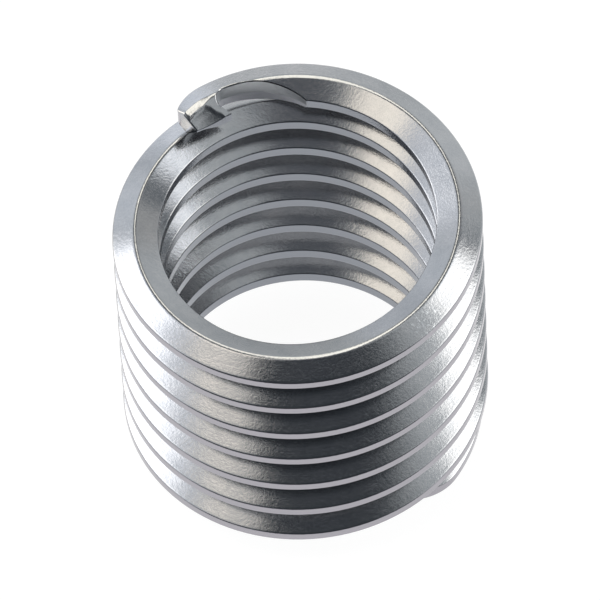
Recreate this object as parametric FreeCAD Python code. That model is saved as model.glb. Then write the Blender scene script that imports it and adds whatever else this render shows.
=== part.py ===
"""Tangless wire thread insert for an M8 x 1.25 thread, 1.5 diameters long, as wound and not yet screwed in.

One rolled wire of diamond section is wound right-handed into a coil. Its outer crests are the thread
that grips the tapped hole, its inner crests are the thread that takes the screw. Both ends are alike:
cut square, rounded on the outer side so that the end leads into the hole, bevelled on the ridge, and
with a driving notch in the inner side of the end coil.
Lengths are in millimetres and angles in degrees.
"""
import FreeCAD
import Part
import math
import os

Vector = FreeCAD.Vector

# Coil
thread_pitch = 1.25
free_outer_diameter = 9.8
coil_count = 7.5
end_coil_gap = 0.07        # left between the last two coils, which close up towards each end
closing_turns = 1.25       # how far from each end the coils close up
top_end_azimuth = 131.5    # where the wire ends at the top, counted from +X

# Wire section, from crest to crest in the radial direction
wire_height = 1.21
wire_width = 0.90          # along the axis, between the two side ridges
ridge_depth = 0.60         # of the side ridges, inward from the outer crest
outer_crest_width = 0.26
inner_crest_width = 0.34

# Driving notch, the same at both ends
notch_setback = 1.31       # along the wire, from its end to the deepest point of the notch
notch_depth = 0.69         # outward from the inner crest
notch_floor_radius = 2.06
notch_hook_radius = 0.29   # of the steep side, which a driving blade pushes against
notch_hook_sweep = 124.0   # how far round the steep side curls back towards the bore

# Wire's end
lead_radius = 1.35         # of the rounding that takes the outer crest inward, seen along the axis
lead_azimuth = 12.5        # where the rounding starts, in degrees before the end
end_bevel_length = 0.70
end_bevel_depth = 0.06

# Modelling aids: the coil is laid out in short spans, and the wire is made a little over size before trimming
span_turns = 0.25
path_points_per_turn = 24
crest_allowance = 0.05
end_allowance = 0.5

outer_radius = free_outer_diameter / 2
inner_radius = outer_radius - wire_height
ridge_radius = outer_radius - ridge_depth
half_width = wire_width / 2
bottom_end_azimuth = top_end_azimuth - 360 * coil_count

# The pitch shrinks towards each end with the square of the distance left to the full pitch
closing_mean = (closing_turns / 3) * (1 - (1 - 1 / closing_turns) ** 3)
closing_share = (thread_pitch - wire_width - end_coil_gap) / (thread_pitch * closing_mean)


def height_lost(turns):
    """Height that the closing takes off the first turns counted from an end."""
    part = min(turns, closing_turns) / closing_turns
    return thread_pitch * closing_share * closing_turns / 3 * (1 - (1 - part) ** 3)


def height_at(turns):
    """Height of the wire's middle plane, counted in turns from the bottom end, whose ridge is at zero."""
    lost = height_lost(turns) + height_lost(coil_count) - height_lost(coil_count - turns)
    return half_width + thread_pitch * turns - lost


def pitch_at(turns):
    """Rise per turn, which is how fast height_at grows."""
    from_end = min(turns, coil_count - turns)
    closing = max(0.0, 1 - from_end / closing_turns)
    return thread_pitch * (1 - closing_share * closing ** 2)


def azimuth_at(turns):
    return math.radians(bottom_end_azimuth + 360 * turns)


def polar(radius, azimuth, height=0.0):
    return Vector(radius * math.cos(azimuth), radius * math.sin(azimuth), height)


def travel_at(turns):
    """How the wire's path moves on per turn."""
    level = polar(2 * math.pi * ridge_radius, azimuth_at(turns) + math.pi / 2)
    return level + Vector(0, 0, pitch_at(turns))


def wire_section(turns):
    """Diamond section in the radial plane, its flanks carried on a little past both crests."""
    outer_slope = (half_width - outer_crest_width / 2) / ridge_depth
    inner_slope = (half_width - inner_crest_width / 2) / (wire_height - ridge_depth)
    outer_half = outer_crest_width / 2 - crest_allowance * outer_slope
    inner_half = inner_crest_width / 2 - crest_allowance * inner_slope
    corners = [
        (outer_radius + crest_allowance, -outer_half),
        (outer_radius + crest_allowance, outer_half),
        (ridge_radius, half_width),
        (inner_radius - crest_allowance, inner_half),
        (inner_radius - crest_allowance, -inner_half),
        (ridge_radius, -half_width),
    ]
    azimuth, middle = azimuth_at(turns), height_at(turns)
    points = [polar(radius, azimuth, middle + offset) for radius, offset in corners]
    return Part.makePolygon(points + points[:1])


def wound_span(start, finish):
    """The wire between two places on the coil, given in turns, with its crests trimmed to true cylinders."""
    spans = math.ceil((finish - start) * path_points_per_turn)
    places = [start + (finish - start) * i / spans for i in range(spans + 1)]
    points = [polar(ridge_radius, azimuth_at(t), height_at(t)) for t in places]
    path = Part.BSplineCurve()
    path.interpolate(
        Points=points,
        Parameters=places,
        InitialTangent=travel_at(start),
        FinalTangent=travel_at(finish),
        Scale=False,
    )
    sweep = Part.BRepOffsetAPI.MakePipeShell(Part.Wire(path.toShape()))
    sweep.setBiNormalMode(Vector(0, 0, 1))
    sweep.add(wire_section(start))
    sweep.build()
    sweep.makeSolid()
    low = height_at(start) - wire_width
    high = height_at(finish) + wire_width
    tube = Part.makeCylinder(outer_radius, high - low, Vector(0, 0, low))
    bore = Part.makeCylinder(inner_radius, high - low, Vector(0, 0, low))
    return sweep.shape().common(tube.cut(bore)).Solids[0]


def notch_cutter():
    """Prism of the driving notch at the top end: a round floor that meets a tighter, steep hooked side."""
    azimuth = math.radians(top_end_azimuth) - notch_setback / ridge_radius
    floor_centre = polar(inner_radius + notch_depth - notch_floor_radius, azimuth)
    hook_centre = floor_centre + polar(notch_floor_radius - notch_hook_radius, azimuth)

    def on_floor(angle):
        return floor_centre + polar(notch_floor_radius, azimuth + angle)

    def on_hook(angle):
        return hook_centre + polar(notch_hook_radius, azimuth + angle)

    sweep = math.radians(notch_hook_sweep)
    floor_start = on_floor(-math.pi / 2)
    nose = on_hook(sweep)
    into_bore = nose + polar(notch_floor_radius, azimuth + sweep + math.pi / 2)
    floor = Part.Arc(floor_start, on_floor(-math.pi / 4), on_floor(0)).toShape()
    hook = Part.Arc(on_hook(0), on_hook(sweep / 2), nose).toShape()
    back = Part.makePolygon([nose, into_bore, floor_start])
    outline = Part.Wire([floor, hook] + back.Edges)
    middle = height_at(coil_count)
    outline.translate(Vector(0, 0, middle - wire_width))
    return Part.Face(outline).extrude(Vector(0, 0, 2 * wire_width))


def half_space(origin, outward, size):
    """A large block with one face through the origin, on the side that the outward direction points to."""
    turn = FreeCAD.Rotation(Vector(0, 0, 1), outward)
    block = Part.makeBox(size, size, size, Vector(-size / 2, -size / 2, 0))
    block.Placement = FreeCAD.Placement(origin, turn)
    return block


def lead_cutter():
    """What the rounding takes off the outer side of the top end: the room between its arc and the free outline."""
    azimuth = math.radians(top_end_azimuth - lead_azimuth)
    centre = polar(outer_radius - lead_radius, azimuth)

    def on_arc(angle):
        return centre + polar(lead_radius, azimuth + angle)

    start, finish = on_arc(0), on_arc(math.pi / 2)
    arc = Part.Arc(start, on_arc(math.pi / 4), finish).toShape()
    outward, onward = polar(wire_height, azimuth), polar(lead_radius, azimuth + math.pi / 2)
    outside = Part.makePolygon([finish, finish + onward, start + outward + 2 * onward, start + outward, start])
    outline = Part.Wire([arc] + outside.Edges)
    outline.translate(Vector(0, 0, height_at(coil_count) - wire_width))
    return Part.Face(outline).extrude(Vector(0, 0, 2 * wire_width))


def end_cutters():
    """The square cut and the ridge bevel at the top end."""
    azimuth = math.radians(top_end_azimuth)
    middle = height_at(coil_count)
    reach = 4 * wire_height
    along = azimuth + math.pi / 2
    square = half_space(polar(ridge_radius, azimuth, middle), polar(1, along), reach)
    tilt = math.atan2(end_bevel_depth, end_bevel_length)
    ridge_end = polar(ridge_radius, azimuth, middle + half_width - end_bevel_depth)
    bevel = half_space(ridge_end, polar(math.sin(tilt), along, math.cos(tilt)), reach)
    return [square, bevel]


def top_end_span():
    """The last span of wire, cut square, rounded, bevelled and notched."""
    allowance = end_allowance / (2 * math.pi * ridge_radius)
    span = wound_span(coil_count - span_turns, coil_count + allowance)
    return span.cut([notch_cutter(), lead_cutter()] + end_cutters()).Solids[0]


def wire_coil():
    first, last = span_turns, coil_count - span_turns
    count = math.ceil((last - first) / span_turns)
    places = [first + (last - first) * i / count for i in range(count + 1)]
    spans = [wound_span(start, finish) for start, finish in zip(places, places[1:])]
    top_end = top_end_span()
    # The coil looks the same when it is turned over about this level line through its middle
    flip_azimuth = math.radians((top_end_azimuth + bottom_end_azimuth) / 2)
    flip_centre = Vector(0, 0, (height_at(0) + height_at(coil_count)) / 2)
    bottom_end = top_end.copy()
    bottom_end.rotate(flip_centre, polar(1, flip_azimuth), 180)
    return top_end.fuse(spans + [bottom_end]).Solids[0]


os.makedirs("parts", exist_ok=True)
wire_coil().exportStep("parts/wire_coil.step")
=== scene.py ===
"""Looks of the wire thread insert: a satin stainless wire wound into a coil, on a white studio floor.

Lengths are in millimetres, and are scaled to metres when a thing is made. Named angles are in degrees.
Turns are counted along the coil from its bottom end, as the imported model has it.
"""

import math

import bmesh
import bpy
import numpy as np
from mathutils import Matrix, Vector


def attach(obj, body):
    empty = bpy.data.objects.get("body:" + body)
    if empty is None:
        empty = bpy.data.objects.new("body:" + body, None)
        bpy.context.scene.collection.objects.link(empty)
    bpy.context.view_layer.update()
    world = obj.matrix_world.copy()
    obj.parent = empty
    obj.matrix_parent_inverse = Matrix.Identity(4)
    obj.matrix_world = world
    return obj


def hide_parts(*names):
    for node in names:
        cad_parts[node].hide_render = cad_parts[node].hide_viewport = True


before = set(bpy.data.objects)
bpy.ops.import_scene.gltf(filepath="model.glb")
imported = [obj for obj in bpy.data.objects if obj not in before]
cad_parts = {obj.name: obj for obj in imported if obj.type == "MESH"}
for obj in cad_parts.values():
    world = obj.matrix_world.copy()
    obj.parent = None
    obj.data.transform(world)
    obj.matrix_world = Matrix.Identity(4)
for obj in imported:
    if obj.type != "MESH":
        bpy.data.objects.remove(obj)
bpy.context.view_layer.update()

MM = 0.001

# Coil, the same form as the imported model
thread_pitch = 1.25
outer_radius = 4.9
wire_height = 1.21
wire_width = 0.90
ridge_depth = 0.60
outer_crest_width = 0.26
inner_crest_width = 0.34
coil_count = 7.5
end_coil_gap = 0.07
closing_turns = 1.25
top_end_azimuth = 131.5
inner_radius = outer_radius - wire_height
ridge_radius = outer_radius - ridge_depth
half_width = wire_width / 2
bottom_end_azimuth = top_end_azimuth - 360 * coil_count
turn_length = 2 * math.pi * ridge_radius
outer_slope = (half_width - outer_crest_width / 2) / ridge_depth
inner_slope = (half_width - inner_crest_width / 2) / (wire_height - ridge_depth)
closing_mean = (closing_turns / 3) * (1 - (1 - 1 / closing_turns) ** 3)
closing_share = (thread_pitch - wire_width - end_coil_gap) / (thread_pitch * closing_mean)

# Rounding of the rolled wire's edges; each ridge has a narrow flat with a rounding on either side
outer_crest_rounding = 0.03
upper_crest_rounding = 0.055    # of the outer crest's upper edge
ridge_rounding = 0.15
ridge_flat_depth = 0.0176
inner_crest_rounding = 0.07
upper_inner_rounding = 0.03     # of the inner crest's upper edge

# Driving notch
notch_setback = 1.31
notch_depth = 0.69
notch_floor_radius = 2.06
notch_hook_radius = 0.29
notch_hook_sweep = 124.0
notch_rim_rounding = 0.035
run_out_azimuth = 103.5         # where the rim round the hook ends and the rim that runs out begins
dull_wall_top = 9.13            # height below which the notch's wall is duller
dull_wall_fade = 0.03

# Wire's end: its outer crest is led inward, its ridge is pressed flat, and its edges are rounded
lead_radius = 1.35
lead_azimuth = 12.5
lead_corner = 0.06
end_curl = 0.07
end_edge_rounding = 0.04
end_outer_rounding = 0.10
inner_trim = 0.12
inner_pinch = 0.29              # that the inner crest's lower edge is raised
facet_start = 0.8
facet_length = 3.8
facet_rounding = 0.03
facet_outer_depth = 0.043
facet_inner_depth = 0.050

# Dent that the punch leaves in the upper inner flank between the notch and the end
dent_radius = 3.76
dent_azimuth = 119.2            # of its near edge at that radius
dent_slant = 9.1                # of that edge towards the end, in degrees per length further out
dent_wave = 0.22                # of that edge to either side, in degrees
dent_ripple = 23.0              # of that wave, in radians per length further out
dent_wall = 0.7                 # in degrees, from that edge to the dent's ground
dent_depth = 0.014
dent_fall = 0.15                # of the dent's ground, per length towards the end
dent_side = 0.05

# The bottom end is wound in a little further than the top end
inward_curl = 0.15
inward_curl_sweep = 50.0
tip_curl = 0.12
tip_curl_sweep = 15.0

# Patch of scratches with painted glints on the wire: its place as distances along and round the wire, and
# its half sizes
scuff_place = (189.35, 0.58)
scuff_size = (0.55, 0.42)

# How far from the crests their painted shade reaches
inner_crest_reach = 0.015
outer_crest_reach = 0.008

# The white sheet reaches far back and to the sides, and ends shortly in front of the coil
floor_reach = 3000.0
floor_front = -13.0

# Camera, at the photograph's height and distance
camera_elevation = 57.0156
camera_distance = 398.21
camera_roll = -3.0515
camera_aim = (-0.0323, 0, 5.3209)
sensor_width = 36
photo_width = 600               # in pixels
photo_scale = 37.628            # in pixels per millimetre at the camera's aim

# Mesh fineness; the places are shares of a straight side of the wire's section
rings_per_turn = 120
fillet_steps = 4
least_rounding = 0.004
crest_places = [0.1, 0.5, 0.9]
flank_places = [0.05, 0.2, 0.4, 0.6, 0.8, 0.95]
dented_places = [0.05, 0.12, 0.2, 0.3, 0.4, 0.5, 0.6, 0.7, 0.8, 0.9, 0.96]
end_turns = 0.25
end_ring_step = 1.0
tip_ring_step = 0.5
tip_azimuth = 17.0
end_rounding_angles = [15, 30, 45, 60, 70, 80]
notch_floor_steps = 60
notch_hook_steps = 24
sharp_angle = 35
cut_weld = 0.001
joint_weld = 0.0001

# Cutter of the notch's rim: how far it passes the inner crest, and how the upper side's slope is read
rim_steps = 3
rim_overrun = 0.15
slope_step = 0.01
crest_margin = 0.02
flank_margin = 0.05

# Material numbers that mark the faces while the wire is cut, and the materials that they get in the end
closing_face = 1
notch_wall = 2
hook_rim = 3
run_out_rim = 4
final_material = {notch_wall: 1, run_out_rim: 2}


def height_lost(turns):
    """Height that the closing takes off the first turns counted from an end."""
    part = np.minimum(turns, closing_turns) / closing_turns
    return thread_pitch * closing_share * closing_turns / 3 * (1 - (1 - part) ** 3)


def height_at(turns):
    """Height of the wire's middle plane."""
    lost = height_lost(turns) + height_lost(coil_count) - height_lost(coil_count - turns)
    return half_width + thread_pitch * turns - lost


def polar(radius, azimuth, height=0.0):
    """Point at a radius and an azimuth in radians."""
    return Vector((radius * math.cos(azimuth), radius * math.sin(azimuth), height))


def clamped(value):
    return min(max(value, 0.0), 1.0)


def smooth_step(value):
    value = clamped(value)
    return value * value * (3 - 2 * value)


def rounded_outline(corners, roundings, side_places):
    """Closed outline with rounded corners; side_places are the points kept along each straight side."""
    count = len(corners)
    arcs = []
    for i, corner in enumerate(corners):
        to_last = corners[i - 1] - corner
        to_next = corners[(i + 1) % count] - corner
        to_last /= np.linalg.norm(to_last)
        to_next /= np.linalg.norm(to_next)
        half_angle = math.acos(np.clip(to_last @ to_next, -1, 1)) / 2
        reach = roundings[i] / math.tan(half_angle)
        bisector = (to_last + to_next) / np.linalg.norm(to_last + to_next)
        centre = corner + bisector * roundings[i] / math.sin(half_angle)
        first = corner + to_last * reach - centre
        last = corner + to_next * reach - centre
        start = math.atan2(first[1], first[0])
        turn = math.atan2(last[1], last[0]) - start
        turn = (turn + math.pi) % (2 * math.pi) - math.pi
        steps = [start + turn * k / fillet_steps for k in range(fillet_steps + 1)]
        arcs.append([centre + roundings[i] * np.array([math.cos(a), math.sin(a)]) for a in steps])
    outline = []
    for i, arc in enumerate(arcs):
        outline += arc
        begin, end = arc[-1], arcs[(i + 1) % count][0]
        outline += [begin + (end - begin) * place for place in side_places[i]]
    return np.array(outline)


def drawn_in(corners, insets):
    """The corners of a convex outline, each of whose sides is moved inward by its own inset."""
    moved = []
    for i, corner in enumerate(corners):
        before = corner - corners[i - 1]
        after = corners[(i + 1) % len(corners)] - corner
        normals = [np.array([-side[1], side[0]]) / np.linalg.norm(side) for side in (before, after)]
        moved.append(corner + np.linalg.solve(normals, [insets[i - 1], insets[i]]))
    return moved


def rounded_off(rounding, to_end):
    """How far a rounding of the end's edge draws the outline in at a distance from the end."""
    if to_end >= rounding:
        return 0.0
    return rounding - math.sqrt(rounding ** 2 - (rounding - to_end) ** 2)


def wire_outline(turns):
    """The wire's section at a place on the coil: radii, and heights from the middle plane."""
    past_lead = lead_azimuth - (coil_count - turns) * 360
    to_end = (coil_count - turns) * turn_length
    crest, shift, trim, pressed = outer_radius, 0.0, 0.0, 0.0
    if past_lead > 0:
        angle = math.radians(past_lead)
        centre = outer_radius - lead_radius
        crest = centre * math.cos(angle) + math.sqrt(lead_radius ** 2 - (centre * math.sin(angle)) ** 2)
        shift = end_curl * (past_lead / lead_azimuth) ** 2
        trim = inner_trim * (past_lead / lead_azimuth) ** 2
        pressed = clamped((past_lead - facet_start) / facet_length)
    crest -= rounded_off(lead_corner, to_end)
    crest_half = outer_crest_width / 2 + (outer_radius - shift - crest) * outer_slope
    inner_half = inner_crest_width / 2 + (trim + shift) * inner_slope
    inner_low = inner_pinch * smooth_step(past_lead / lead_azimuth) - inner_half
    ridge = ridge_radius - shift
    outer_depth = ridge_flat_depth + (facet_outer_depth - ridge_flat_depth) * pressed
    inner_depth = ridge_flat_depth + (facet_inner_depth - ridge_flat_depth) * pressed
    corners = [
        (crest, -crest_half),
        (crest, crest_half),
        (ridge + outer_depth / outer_slope, half_width - outer_depth),
        (ridge - inner_depth / inner_slope, half_width - inner_depth),
        (inner_radius + trim, inner_half),
        (inner_radius + trim, inner_low),
        (ridge - ridge_flat_depth / inner_slope, ridge_flat_depth - half_width),
        (ridge + ridge_flat_depth / outer_slope, ridge_flat_depth - half_width),
    ]
    upper_rounding = ridge_rounding + (facet_rounding - ridge_rounding) * pressed
    roundings = [
        outer_crest_rounding,
        upper_crest_rounding,
        upper_rounding,
        upper_rounding,
        upper_inner_rounding,
        inner_crest_rounding,
        ridge_rounding,
        ridge_rounding,
    ]
    sides = [
        crest_places,
        flank_places,
        [],
        dented_places,
        crest_places,
        flank_places,
        [],
        flank_places,
    ]
    outer_inset, inset = rounded_off(end_outer_rounding, to_end), rounded_off(end_edge_rounding, to_end)
    insets = 3 * [outer_inset] + 5 * [inset]
    corners = drawn_in([np.array(corner) for corner in corners], insets)
    for i in range(len(corners)):
        roundings[i] = max(roundings[i] - max(insets[i - 1], insets[i]), least_rounding)
    outline = rounded_outline(corners, roundings, sides)
    dent(outline, ridge - inner_depth / inner_slope, inner_low, inner_half, past_lead)
    return outline


def dent(outline, near_radius, low, high, past_lead):
    """Presses the dent beside the notch into the outline's upper inner flank, inward of near_radius."""
    azimuth = top_end_azimuth - lead_azimuth + past_lead
    for point in outline:
        inward = near_radius - point[0]
        if inward > 0 and point[1] > low:
            edge = dent_azimuth + dent_slant * (point[0] - dent_radius)
            edge += dent_wave * math.sin(dent_ripple * point[0])
            past_edge = max(azimuth - edge, 0.0)
            depth = dent_depth * smooth_step(past_edge / dent_wall)
            depth += dent_fall * math.radians(past_edge) * point[0]
            share = smooth_step(inward / dent_side) * min((point[1] - low) / (high - low), 1.0)
            point[1] -= share * depth


def girth_of(outline):
    """Distance round the outline to each of its points, and all the way round at last."""
    steps = np.linalg.norm(np.roll(outline, -1, axis=0) - outline, axis=1)
    return np.concatenate([[0], np.cumsum(steps)])


def ring_places(start, finish):
    """Places of the sections between two places in turns, closer together near the top end."""
    if finish < coil_count:
        return np.linspace(start, finish, round((finish - start) * rings_per_turn) + 1)
    tip = coil_count - tip_azimuth / 360
    plain_end = coil_count - end_outer_rounding / turn_length
    body = np.linspace(start, tip, round((tip - start) * 360 / end_ring_step) + 1)
    near = np.linspace(tip, plain_end, round((plain_end - tip) * 360 / tip_ring_step) + 1)
    to_end = end_outer_rounding * (1 - np.sin(np.radians(end_rounding_angles)))
    return np.concatenate([body, near[1:], coil_count - to_end / turn_length, [coil_count]])


def wire_mesh(start, finish, capped=False):
    """The wound wire between two places in turns, with its length and girth as texture coordinates.

    A capped piece is closed, and the face that closes its start is marked, to find it again.
    """
    girth = girth_of(wire_outline(coil_count / 2))
    width = len(girth) - 1
    turns = ring_places(start, finish)
    lengths = turns * turn_length
    mesh = bpy.data.meshes.new("wire")
    work = bmesh.new()
    layer = work.loops.layers.uv.new("along_wire")
    rings = []
    for place in turns:
        azimuth, height = math.radians(bottom_end_azimuth + 360 * place), float(height_at(place))
        section = [polar(r, azimuth, height + dz) for r, dz in wire_outline(place)]
        rings.append([work.verts.new(point * MM) for point in section])
    for i in range(len(turns) - 1):
        for j in range(width):
            k = (j + 1) % width
            face = work.faces.new([rings[i][j], rings[i][k], rings[i + 1][k], rings[i + 1][j]])
            along = (lengths[i], lengths[i], lengths[i + 1], lengths[i + 1])
            around = (girth[j], girth[j + 1], girth[j + 1], girth[j])
            for loop, u, v in zip(face.loops, along, around):
                loop[layer].uv = (u, v)
    if capped:
        work.faces.new(rings[0][::-1]).material_index = closing_face
        work.faces.new(rings[-1])
    work.to_mesh(mesh)
    work.free()
    return mesh


def closed_block(name, work):
    """The built block as an object, with its faces turned outward."""
    bmesh.ops.recalc_face_normals(work, faces=work.faces)
    mesh = bpy.data.meshes.new(name)
    work.to_mesh(mesh)
    work.free()
    return bpy.data.objects.new(name, mesh)


def notch_walls():
    """The notch's walls at the top end, from above: each place with its level direction into the notch."""
    notch_azimuth = math.radians(top_end_azimuth) - notch_setback / ridge_radius
    floor_centre = polar(inner_radius + notch_depth - notch_floor_radius, notch_azimuth)
    hook_centre = floor_centre + polar(notch_floor_radius - notch_hook_radius, notch_azimuth)
    walls = []
    for angle in np.linspace(-math.pi / 2, 0, notch_floor_steps + 1):
        outward = polar(1, notch_azimuth + angle)
        walls.append((floor_centre + notch_floor_radius * outward, -outward))
    for angle in np.linspace(0, math.radians(notch_hook_sweep), notch_hook_steps + 1)[1:]:
        outward = polar(1, notch_azimuth + angle)
        walls.append((hook_centre + notch_hook_radius * outward, -outward))
    return walls


def notch_cutter():
    """A block over the level outline of the driving notch at the top end."""
    walls = notch_walls()
    nose, into_notch = walls[-1]
    into_bore = polar(1, math.atan2(-into_notch.y, -into_notch.x) + math.pi / 2)
    outline = [place for place, _ in walls] + [nose + notch_floor_radius * into_bore]
    middle = float(height_at(coil_count))
    work = bmesh.new()
    lower, upper = [
        [work.verts.new(Vector((place.x, place.y, height)) * MM) for place in outline]
        for height in (middle - wire_width, middle + wire_width)
    ]
    work.faces.new(lower[::-1])
    work.faces.new(upper)
    for i in range(len(outline)):
        k = (i + 1) % len(outline)
        work.faces.new([lower[i], lower[k], upper[k], upper[i]])
    for face in work.faces:
        face.material_index = notch_wall
    return closed_block("notch_cutter", work)


def upper_height(place):
    """Height of the wire's upper side near the top end; in the bore, the inner flank is carried on."""
    radius, azimuth = math.hypot(place.x, place.y), math.degrees(math.atan2(place.y, place.x))
    turns = coil_count - (top_end_azimuth - azimuth) / 360
    lowest = inner_crest_width / 2 - crest_margin
    upper = np.array(sorted((r, dz) for r, dz in wire_outline(turns) if dz > lowest))
    known = max(radius, inner_radius + flank_margin)
    offset = np.interp(known, upper[:, 0], upper[:, 1]) - inner_slope * (known - radius)
    return float(height_at(turns)) + float(offset)


def rim_section(place, into_notch):
    """Section of the rim's cutter: the rounding, carried on a little at both ends, and a corner outside."""
    rise = [
        (upper_height(place + side) - upper_height(place - side)) / (2 * slope_step)
        for side in (Vector((slope_step, 0, 0)), Vector((0, slope_step, 0)))
    ]
    upward = Vector((-rise[0], -rise[1], 1)).normalized()
    corner = Vector((place.x, place.y, upper_height(place)))
    centre = corner - notch_rim_rounding * (upward + into_notch) / (1 + upward.dot(into_notch))
    arc = []
    for k in range(rim_steps + 1):
        toward = upward.slerp(into_notch, k / rim_steps)
        arc.append(centre + notch_rim_rounding * toward)
    before = arc[0] + (arc[0] - arc[1])
    after = arc[-1] + (arc[-1] - arc[-2])
    outside = corner + notch_rim_rounding * (upward + into_notch)
    return [before] + arc[1:-1] + [after, outside]


def rim_cutter():
    """What rounds the notch's upper rim: a thin block swept along it."""
    work = bmesh.new()
    rings = []
    for place, into_notch in notch_walls():
        if math.hypot(place.x, place.y) >= inner_radius - rim_overrun:
            rings.append([work.verts.new(point * MM) for point in rim_section(place, into_notch)])
    for ring, following in zip(rings, rings[1:]):
        for j in range(len(ring)):
            k = (j + 1) % len(ring)
            work.faces.new([ring[j], ring[k], following[k], following[j]])
    work.faces.new(rings[0][::-1])
    work.faces.new(rings[-1])
    for face in work.faces:
        middle = face.calc_center_median()
        azimuth = math.degrees(math.atan2(middle.y, middle.x))
        face.material_index = hook_rim if azimuth > run_out_azimuth else run_out_rim
    return closed_block("rim_cutter", work)


def turned_over():
    """Half a turn about the level line through the coil's middle, which swaps its two ends."""
    azimuth = math.radians((top_end_azimuth + bottom_end_azimuth) / 2)
    middle = Vector((0, 0, float(height_at(0.0) + height_at(coil_count)) / 2))
    centre = Matrix.Translation(middle * MM)
    return centre @ Matrix.Rotation(math.pi, 4, polar(1, azimuth)) @ centre.inverted()


def cut(mesh, cutter):
    """The mesh with the block cut out of it; the new faces keep the block's material number."""
    piece = bpy.data.objects.new("uncut", mesh)
    for thing in (piece, cutter):
        bpy.context.scene.collection.objects.link(thing)
        while len(thing.data.materials) <= run_out_rim:
            thing.data.materials.append(None)
    step = piece.modifiers.new("notch", "BOOLEAN")
    step.operation = "DIFFERENCE"
    step.solver = "EXACT"
    step.material_mode = "INDEX"
    step.object = cutter
    depsgraph = bpy.context.evaluated_depsgraph_get()
    done = bpy.data.meshes.new_from_object(piece.evaluated_get(depsgraph))
    for used in (piece, cutter):
        data = used.data
        bpy.data.objects.remove(used)
        bpy.data.meshes.remove(data)
    return done


def notched_end():
    """The top end's quarter turn, open where it joins the coil, with the notch and its rounded rim cut."""
    end = cut(wire_mesh(coil_count - end_turns, coil_count, capped=True), notch_cutter())
    end = cut(end, rim_cutter())
    work = bmesh.new()
    work.from_mesh(end)
    closing = [face for face in work.faces if face.material_index == closing_face]
    bmesh.ops.delete(work, geom=closing, context="FACES_ONLY")
    bmesh.ops.remove_doubles(work, verts=work.verts, dist=cut_weld * MM)
    work.to_mesh(end)
    work.free()
    return end


def wound_in(mesh):
    """Draws the bottom end's quarter turn inward towards its end."""
    for vertex in mesh.vertices:
        place = vertex.co
        azimuth = math.degrees(math.atan2(place.y, place.x))
        to_end = (azimuth - bottom_end_azimuth + 180) % 360 - 180
        curl = inward_curl * smooth_step((360 * end_turns - to_end) / inward_curl_sweep)
        curl += tip_curl * clamped(1 - to_end / tip_curl_sweep) ** 2
        share = 1 - curl * MM / math.hypot(place.x, place.y)
        vertex.co = Vector((place.x * share, place.y * share, place.z))


def wound_wire():
    """The whole wire: its plain middle, and the cut end at the top and, turned over, at the bottom."""
    end = notched_end()
    other_end = end.copy()
    other_end.transform(turned_over())
    wound_in(other_end)
    middle = wire_mesh(end_turns, coil_count - end_turns)
    work = bmesh.new()
    for part in (middle, end, other_end):
        work.from_mesh(part)
        bpy.data.meshes.remove(part)
    bmesh.ops.remove_doubles(work, verts=work.verts, dist=joint_weld * MM)
    bmesh.ops.recalc_face_normals(work, faces=work.faces)
    for edge in work.edges:
        kinds = {face.material_index for face in edge.link_faces}
        edge.smooth = len(kinds) == 1 and edge.calc_face_angle(0) < math.radians(sharp_angle)
    for face in work.faces:
        face.smooth = True
        face.material_index = final_material.get(face.material_index, 0)
    mesh = bpy.data.meshes.new("wound_wire")
    work.to_mesh(mesh)
    work.free()
    return mesh


# Shader nodes


def feed(tree, target, inputs):
    """Sets a node's inputs, by name or number, to plain values or to what other nodes give out."""
    for name, value in inputs.items():
        if isinstance(value, bpy.types.NodeSocket):
            tree.links.new(value, target.inputs[name])
        else:
            target.inputs[name].default_value = value


def node(tree, kind, inputs=None, **settings):
    made = tree.nodes.new(kind)
    for name, value in settings.items():
        setattr(made, name, value)
    feed(tree, made, inputs or {})
    return made


def math_of(tree, operation, *values):
    inputs = dict(enumerate(values))
    return node(tree, "ShaderNodeMath", inputs, operation=operation).outputs[0]


def mapped(tree, vector, scale, location=(0, 0, 0)):
    inputs = {"Vector": vector, "Scale": scale, "Location": location}
    return node(tree, "ShaderNodeMapping", inputs).outputs["Vector"]


def noise(tree, vector, scale, detail, roughness=0.5):
    inputs = {"Vector": vector, "Scale": scale, "Detail": detail, "Roughness": roughness}
    return node(tree, "ShaderNodeTexNoise", inputs).outputs["Fac"]


def ranged(tree, value, source=(0, 1), target=(0, 1), kind="LINEAR"):
    """A value carried over from the source range to the target range, and kept within it."""
    inputs = {
        "Value": value,
        "From Min": source[0],
        "From Max": source[1],
        "To Min": target[0],
        "To Max": target[1],
    }
    return node(tree, "ShaderNodeMapRange", inputs, interpolation_type=kind).outputs["Result"]


def edged(tree, value, outside, inside):
    """A soft edge: from 0 to 1 as the value goes from outside to inside."""
    return ranged(tree, value, (outside, inside), kind="SMOOTHSTEP")


def overlap(tree, shares):
    """The shares multiplied, for what lies inside all of their edges."""
    both = shares[0]
    for share in shares[1:]:
        both = math_of(tree, "MULTIPLY", both, share)
    return both


def ramp(tree, value, *stops):
    """A colour between two stops, each with the value at which its colour is reached."""
    made = node(tree, "ShaderNodeValToRGB", {"Fac": value})
    for element, (position, colour) in zip(made.color_ramp.elements, stops):
        element.position = position
        element.color = (*colour, 1)
    return made.outputs["Color"]


def laid_over(tree, under, share, tint, blend="MIX"):
    """A share of the tint laid over a colour."""
    inputs = {"Factor": share, "A": under, "B": (*tint, 1)}
    return node(tree, "ShaderNodeMix", inputs, data_type="RGBA", blend_type=blend).outputs["Result"]


def bumped(tree, height, strength, distance, **under):
    """The surface's directions as a relief bends them; the distance is in millimetres."""
    inputs = {"Height": height, "Strength": strength, "Distance": distance * MM, **under}
    return node(tree, "ShaderNodeBump", inputs).outputs["Normal"]


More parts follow.
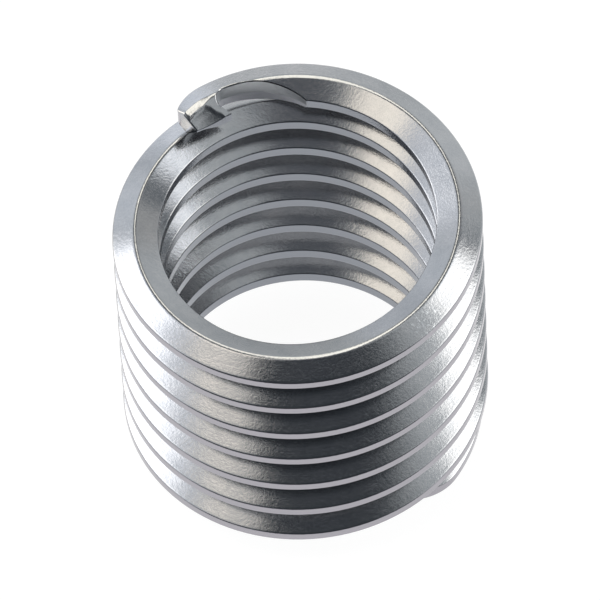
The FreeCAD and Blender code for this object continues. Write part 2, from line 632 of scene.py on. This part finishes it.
def new_material(name):
    """A new material with its node tree and its shader."""
    material = bpy.data.materials.new(name)
    material.use_nodes = True
    tree = material.node_tree
    return material, tree, tree.nodes["Principled BSDF"]


# Materials


def steel_material():
    """Satin stainless wire: fine pickled grain, drawing lines along the wire and slight stains, with
    painted shade on the inner flanks and crests and painted glints on a patch of scratches.
    """
    material, tree, shader = new_material("satin_stainless")
    place = node(tree, "ShaderNodeTexCoord")
    on_wire, in_space = place.outputs["UV"], place.outputs["Object"]
    grain = noise(tree, in_space, scale=14000, detail=3, roughness=0.7)
    stain = noise(tree, in_space, scale=1500, detail=6, roughness=0.65)
    lines = noise(tree, mapped(tree, on_wire, scale=(0.9, 30, 1)), scale=1, detail=4, roughness=0.65)
    speckled = math_of(tree, "MULTIPLY_ADD", grain, 0.6, stain)
    colour = ramp(tree, speckled, (0.55, (0.392, 0.405, 0.425)), (1.0, (0.482, 0.486, 0.500)))

    # Painted shade: the inner flanks are a little darker than the outer ones, and both crests are darker
    # still, for the dimmer reflections in the bore and off the crests
    plain = wire_outline(coil_count / 2)
    radii, girth = plain[:, 0], girth_of(plain)[:-1]
    round_wire = node(tree, "ShaderNodeSeparateXYZ", {"Vector": on_wire}).outputs["Y"]
    bands = [
        (radii < ridge_radius, "MULTIPLY", (0.93, 0.93, 0.93)),
        (radii < inner_radius + inner_crest_reach, "MIX", (0.265, 0.280, 0.310)),
        (radii > outer_radius - outer_crest_reach, "MIX", (0.375, 0.364, 0.396)),
    ]
    for within, blend, dull in bands:
        low, high = girth[within].min(), girth[within].max()
        near = math_of(tree, "COMPARE", round_wire, (low + high) / 2, (high - low) / 2)
        colour = laid_over(tree, colour, near, dull, blend)

    # Scratches across the wire, where a tool has rubbed the outer flank of the top coil; their glints are
    # painted highlights, a lighter colour laid over the steel
    scale = (1 / scuff_size[0], 1 / scuff_size[1], 0)
    location = (-scuff_place[0] / scuff_size[0], -scuff_place[1] / scuff_size[1], 0)
    from_middle = {0: mapped(tree, on_wire, scale, location)}
    away = node(tree, "ShaderNodeVectorMath", from_middle, operation="LENGTH").outputs["Value"]
    across = noise(tree, mapped(tree, on_wire, scale=(17, 8, 1)), scale=1, detail=2)
    scratched = overlap(tree, [edged(tree, away, 1.0, 0.6), ranged(tree, across, source=(0.53, 0.78))])
    colour = laid_over(tree, colour, scratched, (0.80, 0.82, 0.84))

    grained = bumped(tree, grain, strength=0.3, distance=0.01)
    looks = {
        "Base Color": colour,
        "Metallic": 1.0,
        "Roughness": ranged(tree, grain, source=(0.3, 0.7), target=(0.11, 0.18)),
        "Normal": bumped(tree, lines, strength=0.1, distance=0.01, Normal=grained),
    }
    feed(tree, shader, looks)
    return material


def cut_material():
    """Walls of the driving notch: dull punched steel, lighter and duller still in its lower part."""
    material, tree, shader = new_material("punched_stainless")
    in_space = node(tree, "ShaderNodeTexCoord").outputs["Object"]
    torn = noise(tree, in_space, scale=9000, detail=5, roughness=0.7)
    height = node(tree, "ShaderNodeSeparateXYZ", {"Vector": in_space}).outputs["Z"]
    low = edged(tree, height, dull_wall_top * MM, (dull_wall_top - dull_wall_fade) * MM)
    looks = {
        "Base Color": laid_over(tree, (0.760, 0.780, 0.805, 1), low, (0.900, 0.900, 0.950)),
        "Metallic": ranged(tree, low, target=(0.7, 0.2)),
        "Roughness": ranged(tree, low, target=(0.36, 0.66)),
        "Normal": bumped(tree, torn, strength=0.4, distance=0.02),
    }
    feed(tree, shader, looks)
    return material


def edge_material():
    """The notch's rim where it runs out, in painted shade: near-black steel that stands in for the dark
    line along that edge.
    """
    material, tree, shader = new_material("painted_shade_rim")
    in_space = node(tree, "ShaderNodeTexCoord").outputs["Object"]
    smear = noise(tree, in_space, scale=6000, detail=3)
    # Painted shade: a near-black colour, mottled a little, for the dark line along the run-out rim
    colour = ramp(tree, smear, (0.3, (0.045, 0.050, 0.058)), (0.7, (0.085, 0.090, 0.100)))
    feed(tree, shader, {"Base Color": colour, "Metallic": 1.0, "Roughness": 0.4})
    return material


def floor_material():
    """White paper: it takes the coil's shadow, and glows to a clean white where it is seen or mirrored."""
    material, tree, _ = new_material("white_floor")
    tree.nodes.clear()
    paper = node(tree, "ShaderNodeBsdfDiffuse", {"Color": (0.8, 0.8, 0.8, 1)})
    shaded = node(tree, "ShaderNodeBsdfDiffuse", {"Color": (0.17, 0.17, 0.17, 1)})
    glow = node(tree, "ShaderNodeEmission", {"Strength": 0.93})
    seen = node(tree, "ShaderNodeAddShader", {0: shaded.outputs[0], 1: glow.outputs[0]})
    path = node(tree, "ShaderNodeLightPath").outputs
    either = math_of(tree, "MAXIMUM", path["Is Camera Ray"], path["Is Glossy Ray"])
    any_of = math_of(tree, "MAXIMUM", either, path["Is Transmission Ray"])
    pick = node(tree, "ShaderNodeMixShader", {0: any_of, 1: paper.outputs[0], 2: seen.outputs[0]})
    node(tree, "ShaderNodeOutputMaterial", {"Surface": pick.outputs[0]})
    return material


# World, camera and floor


def direction(azimuth, elevation):
    azimuth, elevation = math.radians(azimuth), math.radians(elevation)
    return (
        math.cos(elevation) * math.cos(azimuth),
        math.cos(elevation) * math.sin(azimuth),
        math.sin(elevation),
    )


def studio_world():
    """A pale room with large soft lamps left and right, a long narrow one overhead, and a dark front."""
    world = bpy.data.worlds.new("studio")
    world.use_nodes = True
    tree = world.node_tree
    tree.nodes.clear()
    toward = node(tree, "ShaderNodeTexCoord").outputs["Generated"]
    colour = (0.71, 0.74, 0.75, 1)

    # Round patches of light and shade: azimuth, elevation, radius, softness, colour
    patches = [
        (50, 9, 16, 4, (0.86, 0.89, 0.90)),
        (120, 14, 15, 6, (0.80, 0.84, 0.89)),
        (128, 19, 9, 4, (0.98, 1.03, 1.09)),
        (43, 35, 8, 3, (0.63, 0.63, 0.62)),
        (108, 2, 6, 3, (1.30, 1.36, 1.46)),
        (162, 44, 26, 6, (1.02, 1.06, 1.12)),
        (205, 57, 12, 4, (0.84, 0.82, 0.79)),
        (90, 68, 30, 5, (0.22, 0.23, 0.24)),
        (265, 0, 62, 6, (0.10, 0.11, 0.12)),
        (275, 72, 14, 5, (0.30, 0.31, 0.33)),
        (26, 42, 8, 3, (0.23, 0.25, 0.27)),
        (188, 61, 6.5, 2, (2.10, 1.93, 1.68)),
        (201, 66.5, 6.5, 2, (2.00, 1.84, 1.60)),
        (157, 3, 12, 4, (3.0, 2.8, 2.5)),
        (157, 24, 14, 2.5, (3.0, 3.0, 3.05)),
        (171, 32.5, 13.2, 2.5, (3.0, 3.0, 3.05)),
        (1, 35.5, 14.5, 2.5, (3.0, 2.95, 2.85)),
        (14, 50, 5.5, 2.5, (1.9, 1.95, 2.0)),
        (270, 75, 9, 5, (0.17, 0.18, 0.20)),
    ]
    for azimuth, elevation, radius, softness, tint in patches:
        ends = {0: toward, 1: direction(azimuth, elevation)}
        nearness = node(tree, "ShaderNodeVectorMath", ends, operation="DOT_PRODUCT").outputs["Value"]
        outside = math.cos(math.radians(radius + softness))
        inside = math.cos(math.radians(radius - softness))
        colour = laid_over(tree, colour, edged(tree, nearness, outside, inside), tint)

    parts = node(tree, "ShaderNodeSeparateXYZ", {"Vector": toward}).outputs
    sideways = math_of(tree, "ABSOLUTE", parts["X"])

    # The dark front is bounded above by two slanting edges that meet over the middle
    slanted = math_of(tree, "MULTIPLY_ADD", sideways, -0.35, parts["Y"])
    front = [
        edged(tree, slanted, -0.345, -0.395),
        edged(tree, parts["X"], -0.40, -0.31),
        edged(tree, parts["X"], 0.64, 0.30),
    ]
    colour = laid_over(tree, colour, overlap(tree, front), (0.060, 0.068, 0.077))

    # The overhead lamp is a strip from front to back
    strip = [
        edged(tree, sideways, 0.15, 0.09),
        edged(tree, parts["Y"], -0.15, -0.05),
        edged(tree, parts["Y"], 0.84, 0.76),
    ]
    colour = laid_over(tree, colour, overlap(tree, strip), (2.4, 2.3, 2.05))

    background = node(tree, "ShaderNodeBackground", {"Color": colour})
    node(tree, "ShaderNodeOutputWorld", {"Surface": background.outputs[0]})
    return world


def make_camera():
    """The camera looks down on the coil from the front, with a slight roll."""
    elevation, roll = math.radians(camera_elevation), math.radians(camera_roll)
    forward = Vector((0, math.cos(elevation), -math.sin(elevation)))
    upward = Vector((0, math.sin(elevation), math.cos(elevation)))
    sideways = Vector((1, 0, 0))
    right = math.cos(roll) * sideways + math.sin(roll) * upward
    top = -math.sin(roll) * sideways + math.cos(roll) * upward
    data = bpy.data.cameras.new("camera")
    data.sensor_width = sensor_width
    data.lens = photo_scale * camera_distance * sensor_width / photo_width
    data.clip_start = 0.01
    data.clip_end = 20
    camera = bpy.data.objects.new("camera", data)
    place = (Vector(camera_aim) - forward * camera_distance) * MM
    turn = Matrix((right, top, -forward)).transposed().to_4x4()
    camera.matrix_world = Matrix.Translation(place) @ turn
    bpy.context.scene.collection.objects.link(camera)
    bpy.context.scene.camera = camera


def white_floor():
    """The white sheet, as an object with its material."""
    left, right = -floor_reach, floor_reach
    front, back = floor_front, floor_reach
    corners = [(left, front, 0), (right, front, 0), (right, back, 0), (left, back, 0)]
    mesh = bpy.data.meshes.new("floor")
    mesh.from_pydata([Vector(corner) * MM for corner in corners], [], [(0, 1, 2, 3)])
    mesh.materials.append(floor_material())
    return bpy.data.objects.new("floor", mesh)


coil = bpy.data.objects.new("wound_wire", wound_wire())
bpy.context.scene.collection.objects.link(coil)
# The third material is painted shade along the notch's run-out rim
for material in (steel_material(), cut_material(), edge_material()):
    coil.data.materials.append(material)
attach(coil, "root")
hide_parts("wire_coil")

floor = white_floor()
bpy.context.scene.collection.objects.link(floor)

bpy.context.scene.world = studio_world()
bpy.context.scene.view_settings.view_transform = "Standard"
make_camera()
